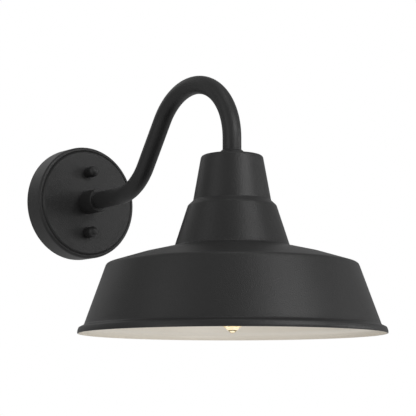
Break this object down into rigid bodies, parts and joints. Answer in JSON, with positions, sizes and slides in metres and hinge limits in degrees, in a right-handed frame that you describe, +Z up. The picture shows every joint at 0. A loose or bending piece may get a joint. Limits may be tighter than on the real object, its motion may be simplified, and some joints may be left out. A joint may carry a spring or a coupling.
{
  "type": "wall light",
  "caption": "Outdoor gooseneck wall light: round canopy with domed cap nuts, arched tube arm and a stepped bell-shaped metal shade with a screw-in bulb.",
  "frame": {"origin": "centre of the junction-box screw pattern, in the plane of the wall", "axes": "+Y into the wall, so the light stands out towards -Y; +Z up; +X to the right as seen from in front"},
  "size_m": [0.3048, 0.4434, 0.271],
  "materials": {
    "black_powder_coat": "fine-textured matt black powder coat",
    "white_enamel": "satin white enamel, the inner coat of the shade",
    "black_foam": "closed-cell foam",
    "black_rubber": "matt moulded rubber",
    "zinc_steel": "bright zinc plate",
    "green_steel": "green dyed zinc plate",
    "black_steel": "black oxide",
    "tinned_copper": "tin plate",
    "porcelain": "white glaze",
    "nickel_brass": "nickel plate",
    "brass": "plain brass",
    "solder": "dull solder",
    "black_glass": "black glass insulator",
    "clear_glass": "clear glass with a faint amber tint",
    "stem_glass": "clear lead glass",
    "tungsten": "drawn wire",
    "black_insulation": "silicone insulation",
    "white_insulation": "silicone insulation",
    "green_insulation": "silicone insulation",
    "orange_plastic": "moulded, ribbed"
  },
  "bodies": {
    "fixture": {"canopy": "black_powder_coat", "wall_collar": "black_powder_coat", "arm_tube": "black_powder_coat", "top_collar": "black_powder_coat", "shade": "black_powder_coat", "canopy_gasket": "black_foam", "mounting_strap": "zinc_steel", "mounting_studs": "zinc_steel", "strap_lock_nuts": "zinc_steel", "ground_screw": "green_steel", "wall_nipple": "zinc_steel", "arm_lock_washer": "zinc_steel", "arm_lock_nut": "zinc_steel", "collar_set_screw": "black_steel", "ground_ring_terminal": "tinned_copper", "arm_end_plug": "zinc_steel", "lamp_nipple": "zinc_steel", "shade_washer": "zinc_steel", "shade_lock_nut": "zinc_steel", "bracket_lock_nut": "zinc_steel", "socket_bracket": "zinc_steel", "socket_screws": "zinc_steel", "socket_body": "porcelain", "socket_screw_shell": "nickel_brass", "socket_center_contact": "brass", "socket_terminals": "brass", "hot_lead": "black_insulation", "neutral_lead": "white_insulation", "ground_lead": "green_insulation", "wire_connectors": "orange_plastic"},
    "upper_washer": {"upper_sealing_washer": "black_rubber"},
    "upper_nut": {"upper_cap_nut": "black_powder_coat"},
    "lower_washer": {"lower_sealing_washer": "black_rubber"},
    "lower_nut": {"lower_cap_nut": "black_powder_coat"},
    "bulb_contact": {"bulb_tip_contact": "solder"},
    "bulb": {"bulb_base_insulator": "black_glass", "bulb_screw_base": "brass", "bulb_glass": "clear_glass", "bulb_stem": "stem_glass", "bulb_filament": "tungsten", "bulb_supports": "tungsten"}
  },
  "joints": [
    {"name": "upper_nut_travel", "type": "slide", "parent": "fixture", "child": "upper_washer", "axis": [0, -1, 0], "range_m": [0, 0.00794]},
    {"name": "upper_nut_turn", "type": "hinge", "parent": "upper_washer", "child": "upper_nut", "pos_m": [0, -0.035, 0.03492], "axis": [0, -1, 0], "range_deg": [0, 3600]},
    {"name": "lower_nut_travel", "type": "slide", "parent": "fixture", "child": "lower_washer", "axis": [0, -1, 0], "range_m": [0, 0.00794]},
    {"name": "lower_nut_turn", "type": "hinge", "parent": "lower_washer", "child": "lower_nut", "pos_m": [0, -0.035, -0.03492], "axis": [0, -1, 0], "range_deg": [0, 3600]},
    {"name": "bulb_travel", "type": "slide", "parent": "fixture", "child": "bulb_contact", "axis": [0, 0, -1], "range_m": [0, 0.0218]},
    {"name": "bulb_turn", "type": "hinge", "parent": "bulb_contact", "child": "bulb", "pos_m": [0, -0.291, -0.03], "axis": [0, 0, -1], "range_deg": [0, 2160]}
  ],
  "couplings": [
    {"joint": "upper_nut_travel", "follows": "upper_nut_turn", "m_per_rad": 0.00012633},
    {"joint": "lower_nut_travel", "follows": "lower_nut_turn", "m_per_rad": 0.00012633},
    {"joint": "bulb_travel", "follows": "bulb_turn", "m_per_rad": 0.00057751}
  ]
}
